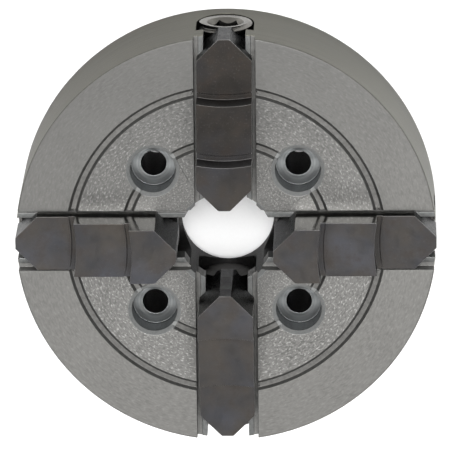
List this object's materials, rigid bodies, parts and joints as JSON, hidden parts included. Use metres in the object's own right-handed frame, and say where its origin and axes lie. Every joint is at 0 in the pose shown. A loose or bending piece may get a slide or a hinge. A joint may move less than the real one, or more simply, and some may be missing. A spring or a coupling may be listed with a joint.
{
  "type": "lathe chuck",
  "caption": "Round independent lathe chuck with stepped sliding jaws in radial slots, hexagon-socket adjusting screws at the rim and counterbored bolt holes in the face.",
  "frame": {"origin": "centre of the chuck's back face, on the spindle axis", "axes": "+Z along the spindle axis towards the jaws; +X and +Y along two neighbouring jaw slots"},
  "size_m": [0.2, 0.2, 0.0812],
  "materials": {
    "body_iron": "ground face with fine sparkle, satin turned rim",
    "jaw_steel": "hardened, blackened and ground",
    "screw_steel": "turned, lightly oiled",
    "bearing_steel": "hardened and ground",
    "black_oxide": "black oxide"
  },
  "bodies": {
    "chuck": {"chuck_body": "body_iron", "bearing_screw_right_a": "black_oxide", "bearing_screw_right_b": "black_oxide", "thrust_bearing_right": "bearing_steel", "bearing_screw_top_a": "black_oxide", "bearing_screw_top_b": "black_oxide", "thrust_bearing_top": "bearing_steel", "bearing_screw_left_a": "black_oxide", "bearing_screw_left_b": "black_oxide", "thrust_bearing_left": "bearing_steel", "bearing_screw_bottom_a": "black_oxide", "bearing_screw_bottom_b": "black_oxide", "thrust_bearing_bottom": "bearing_steel"},
    "screw_right": {"adjusting_screw_right": "screw_steel"},
    "jaw_right": {"jaw_right": "jaw_steel"},
    "screw_top": {"adjusting_screw_top": "screw_steel"},
    "jaw_top": {"jaw_top": "jaw_steel"},
    "screw_left": {"adjusting_screw_left": "screw_steel"},
    "jaw_left": {"jaw_left": "jaw_steel"},
    "screw_bottom": {"adjusting_screw_bottom": "screw_steel"},
    "jaw_bottom": {"jaw_bottom": "jaw_steel"}
  },
  "joints": [
    {"name": "screw_right_turn", "type": "hinge", "parent": "chuck", "child": "screw_right", "pos_m": [0.0623, 0, 0.0235], "axis": [1, 0, 0], "range_deg": [-1808, 1340]},
    {"name": "jaw_right_slide", "type": "slide", "parent": "chuck", "child": "jaw_right", "axis": [1, 0, 0], "range_m": [-0.0185, 0.025]},
    {"name": "screw_top_turn", "type": "hinge", "parent": "chuck", "child": "screw_top", "pos_m": [0, 0.0623, 0.0235], "axis": [0, 1, 0], "range_deg": [-1808, 1340]},
    {"name": "jaw_top_slide", "type": "slide", "parent": "chuck", "child": "jaw_top", "axis": [0, 1, 0], "range_m": [-0.0185, 0.025]},
    {"name": "screw_left_turn", "type": "hinge", "parent": "chuck", "child": "screw_left", "pos_m": [-0.0623, 0, 0.0235], "axis": [-1, 0, 0], "range_deg": [-1808, 1340]},
    {"name": "jaw_left_slide", "type": "slide", "parent": "chuck", "child": "jaw_left", "axis": [-1, 0, 0], "range_m": [-0.0185, 0.025]},
    {"name": "screw_bottom_turn", "type": "hinge", "parent": "chuck", "child": "screw_bottom", "pos_m": [0, -0.0623, 0.0235], "axis": [0, -1, 0], "range_deg": [-1808, 1088]},
    {"name": "jaw_bottom_slide", "type": "slide", "parent": "chuck", "child": "jaw_bottom", "axis": [0, -1, 0], "range_m": [-0.015, 0.025]}
  ],
  "couplings": [
    {"joint": "screw_right_turn", "follows": "jaw_right_slide", "rad_per_m": -1256.6},
    {"joint": "screw_top_turn", "follows": "jaw_top_slide", "rad_per_m": -1256.6},
    {"joint": "screw_left_turn", "follows": "jaw_left_slide", "rad_per_m": -1256.6},
    {"joint": "screw_bottom_turn", "follows": "jaw_bottom_slide", "rad_per_m": -1256.6}
  ]
}
